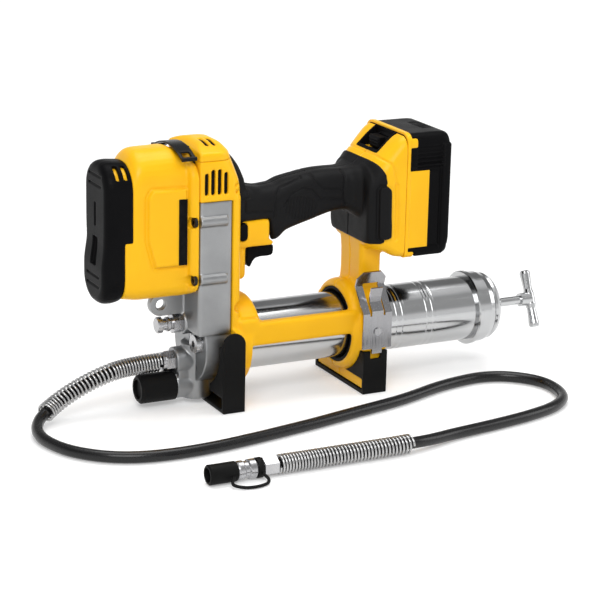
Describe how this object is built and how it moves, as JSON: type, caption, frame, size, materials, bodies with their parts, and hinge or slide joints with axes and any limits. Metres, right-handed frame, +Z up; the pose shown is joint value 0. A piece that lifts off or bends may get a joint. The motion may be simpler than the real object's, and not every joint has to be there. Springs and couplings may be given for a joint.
{
  "type": "cordless grease gun",
  "caption": "Cordless grease gun with slide-on battery, screw-in barrel, flexible hose with wire guards, coupler and dust cap",
  "frame": {"origin": "floor level under the middle of the tool, hose left out", "axes": "X from the motor to the T handle, Y across, Z up"},
  "size_m": [0.498, 0.2558, 0.227],
  "materials": {
    "yellow_plastic": "satin moulded amber yellow",
    "black_plastic": "satin moulded black",
    "soft_grip": "soft matt black rubber",
    "cast_alloy": "bare fine die-cast",
    "chromed_steel": "bright plated",
    "turned_steel": "turned and zinc plated",
    "black_steel": "black coated"
  },
  "bodies": {
    "tool": {"pump_head": "cast_alloy", "foot_plug": "turned_steel", "prime_plug": "turned_steel", "fill_nipple": "turned_steel", "relief_valve": "turned_steel", "valve_cap": "soft_grip", "motor_housing": "yellow_plastic", "motor_end_cap": "black_plastic", "housing_screws": "black_steel", "motor_can": "turned_steel", "strap_bracket": "black_steel", "top_cover": "yellow_plastic", "left_frame": "yellow_plastic", "right_frame": "yellow_plastic", "left_grip": "soft_grip", "right_grip": "soft_grip", "latch_bezel": "black_plastic", "front_foot": "soft_grip", "rear_foot": "soft_grip", "barrel_guide": "black_plastic", "hose_clip": "turned_steel", "clip_screw": "turned_steel", "switch_body": "black_plastic", "terminal_block": "black_plastic", "hose_nut": "turned_steel", "hose": "soft_grip", "pump_guard": "chromed_steel", "coupler_guard": "chromed_steel", "coupler_nut": "turned_steel", "coupler_body": "turned_steel", "tether": "soft_grip"},
    "check_ball": {"check_ball": "turned_steel"},
    "motor_rotor": {"motor_rotor": "turned_steel"},
    "crank_gear": {"crank_gear": "turned_steel"},
    "plunger": {"plunger": "turned_steel"},
    "trigger": {"trigger": "black_plastic"},
    "lock_button": {"lock_button": "black_plastic"},
    "battery": {"battery_case": "black_plastic", "battery_panel": "yellow_plastic", "battery_cells": "turned_steel"},
    "latch_button": {"latch_button": "black_plastic"},
    "barrel": {"barrel_tube": "chromed_steel", "barrel_end_cap": "chromed_steel", "follower_spring": "turned_steel"},
    "follower": {"follower": "soft_grip"},
    "follower_rod": {"follower_rod": "chromed_steel", "t_handle": "chromed_steel"},
    "dust_cap": {"dust_cap": "soft_grip"}
  },
  "joints": [
    {"name": "motor_turn", "type": "hinge", "parent": "tool", "child": "motor_rotor", "pos_m": [-0.1655, 0.00275, 0.16], "axis": [1, 0, 0], "continuous": true},
    {"name": "crank_turn", "type": "hinge", "parent": "tool", "child": "crank_gear", "pos_m": [-0.1135, 0.00275, 0.13], "axis": [1, 0, 0], "continuous": true},
    {"name": "plunger_stroke", "type": "slide", "parent": "tool", "child": "plunger", "axis": [0, 0, 1], "range_m": [-0.008, 0.008]},
    {"name": "check_ball_lift", "type": "slide", "parent": "tool", "child": "check_ball", "axis": [0, 0, 1], "range_m": [0, 0.0012], "stiffness_N_per_m": 300},
    {"name": "trigger_pull", "type": "slide", "parent": "tool", "child": "trigger", "axis": [-0.2588, 0, 0.9659], "range_m": [0, 0.006], "stiffness_N_per_m": 900, "springref_m": -0.004},
    {"name": "lock_off_push", "type": "slide", "parent": "tool", "child": "lock_button", "axis": [0, -1, 0], "range_m": [0, 0.004]},
    {"name": "battery_slide", "type": "slide", "parent": "tool", "child": "battery", "axis": [0, 0, 1], "range_m": [0, 0.115]},
    {"name": "latch_press", "type": "slide", "parent": "battery", "child": "latch_button", "axis": [1, 0, 0], "range_m": [0, 0.003], "stiffness_N_per_m": 1500, "springref_m": -0.002},
    {"name": "barrel_unscrew", "type": "hinge", "parent": "tool", "child": "barrel", "pos_m": [-0.0255, 0.00275, 0.052], "axis": [1, 0, 0], "continuous": true},
    {"name": "follower_pull", "type": "slide", "parent": "barrel", "child": "follower", "axis": [1, 0, 0], "range_m": [0, 0.17], "stiffness_N_per_m": 300, "springref_m": -0.1, "deforming": ["follower_spring"]},
    {"name": "rod_turn", "type": "hinge", "parent": "follower", "child": "follower_rod", "pos_m": [0.0745, 0.00275, 0.052], "axis": [1, 0, 0], "continuous": true},
    {"name": "dust_cap_pull", "type": "slide", "parent": "tool", "child": "dust_cap", "axis": [-1, 0, 0], "range_m": [0, 0.025], "deforming": ["tether"]}
  ],
  "couplings": [
    {"joint": "crank_turn", "follows": "motor_turn", "ratio": -0.25}
  ]
}
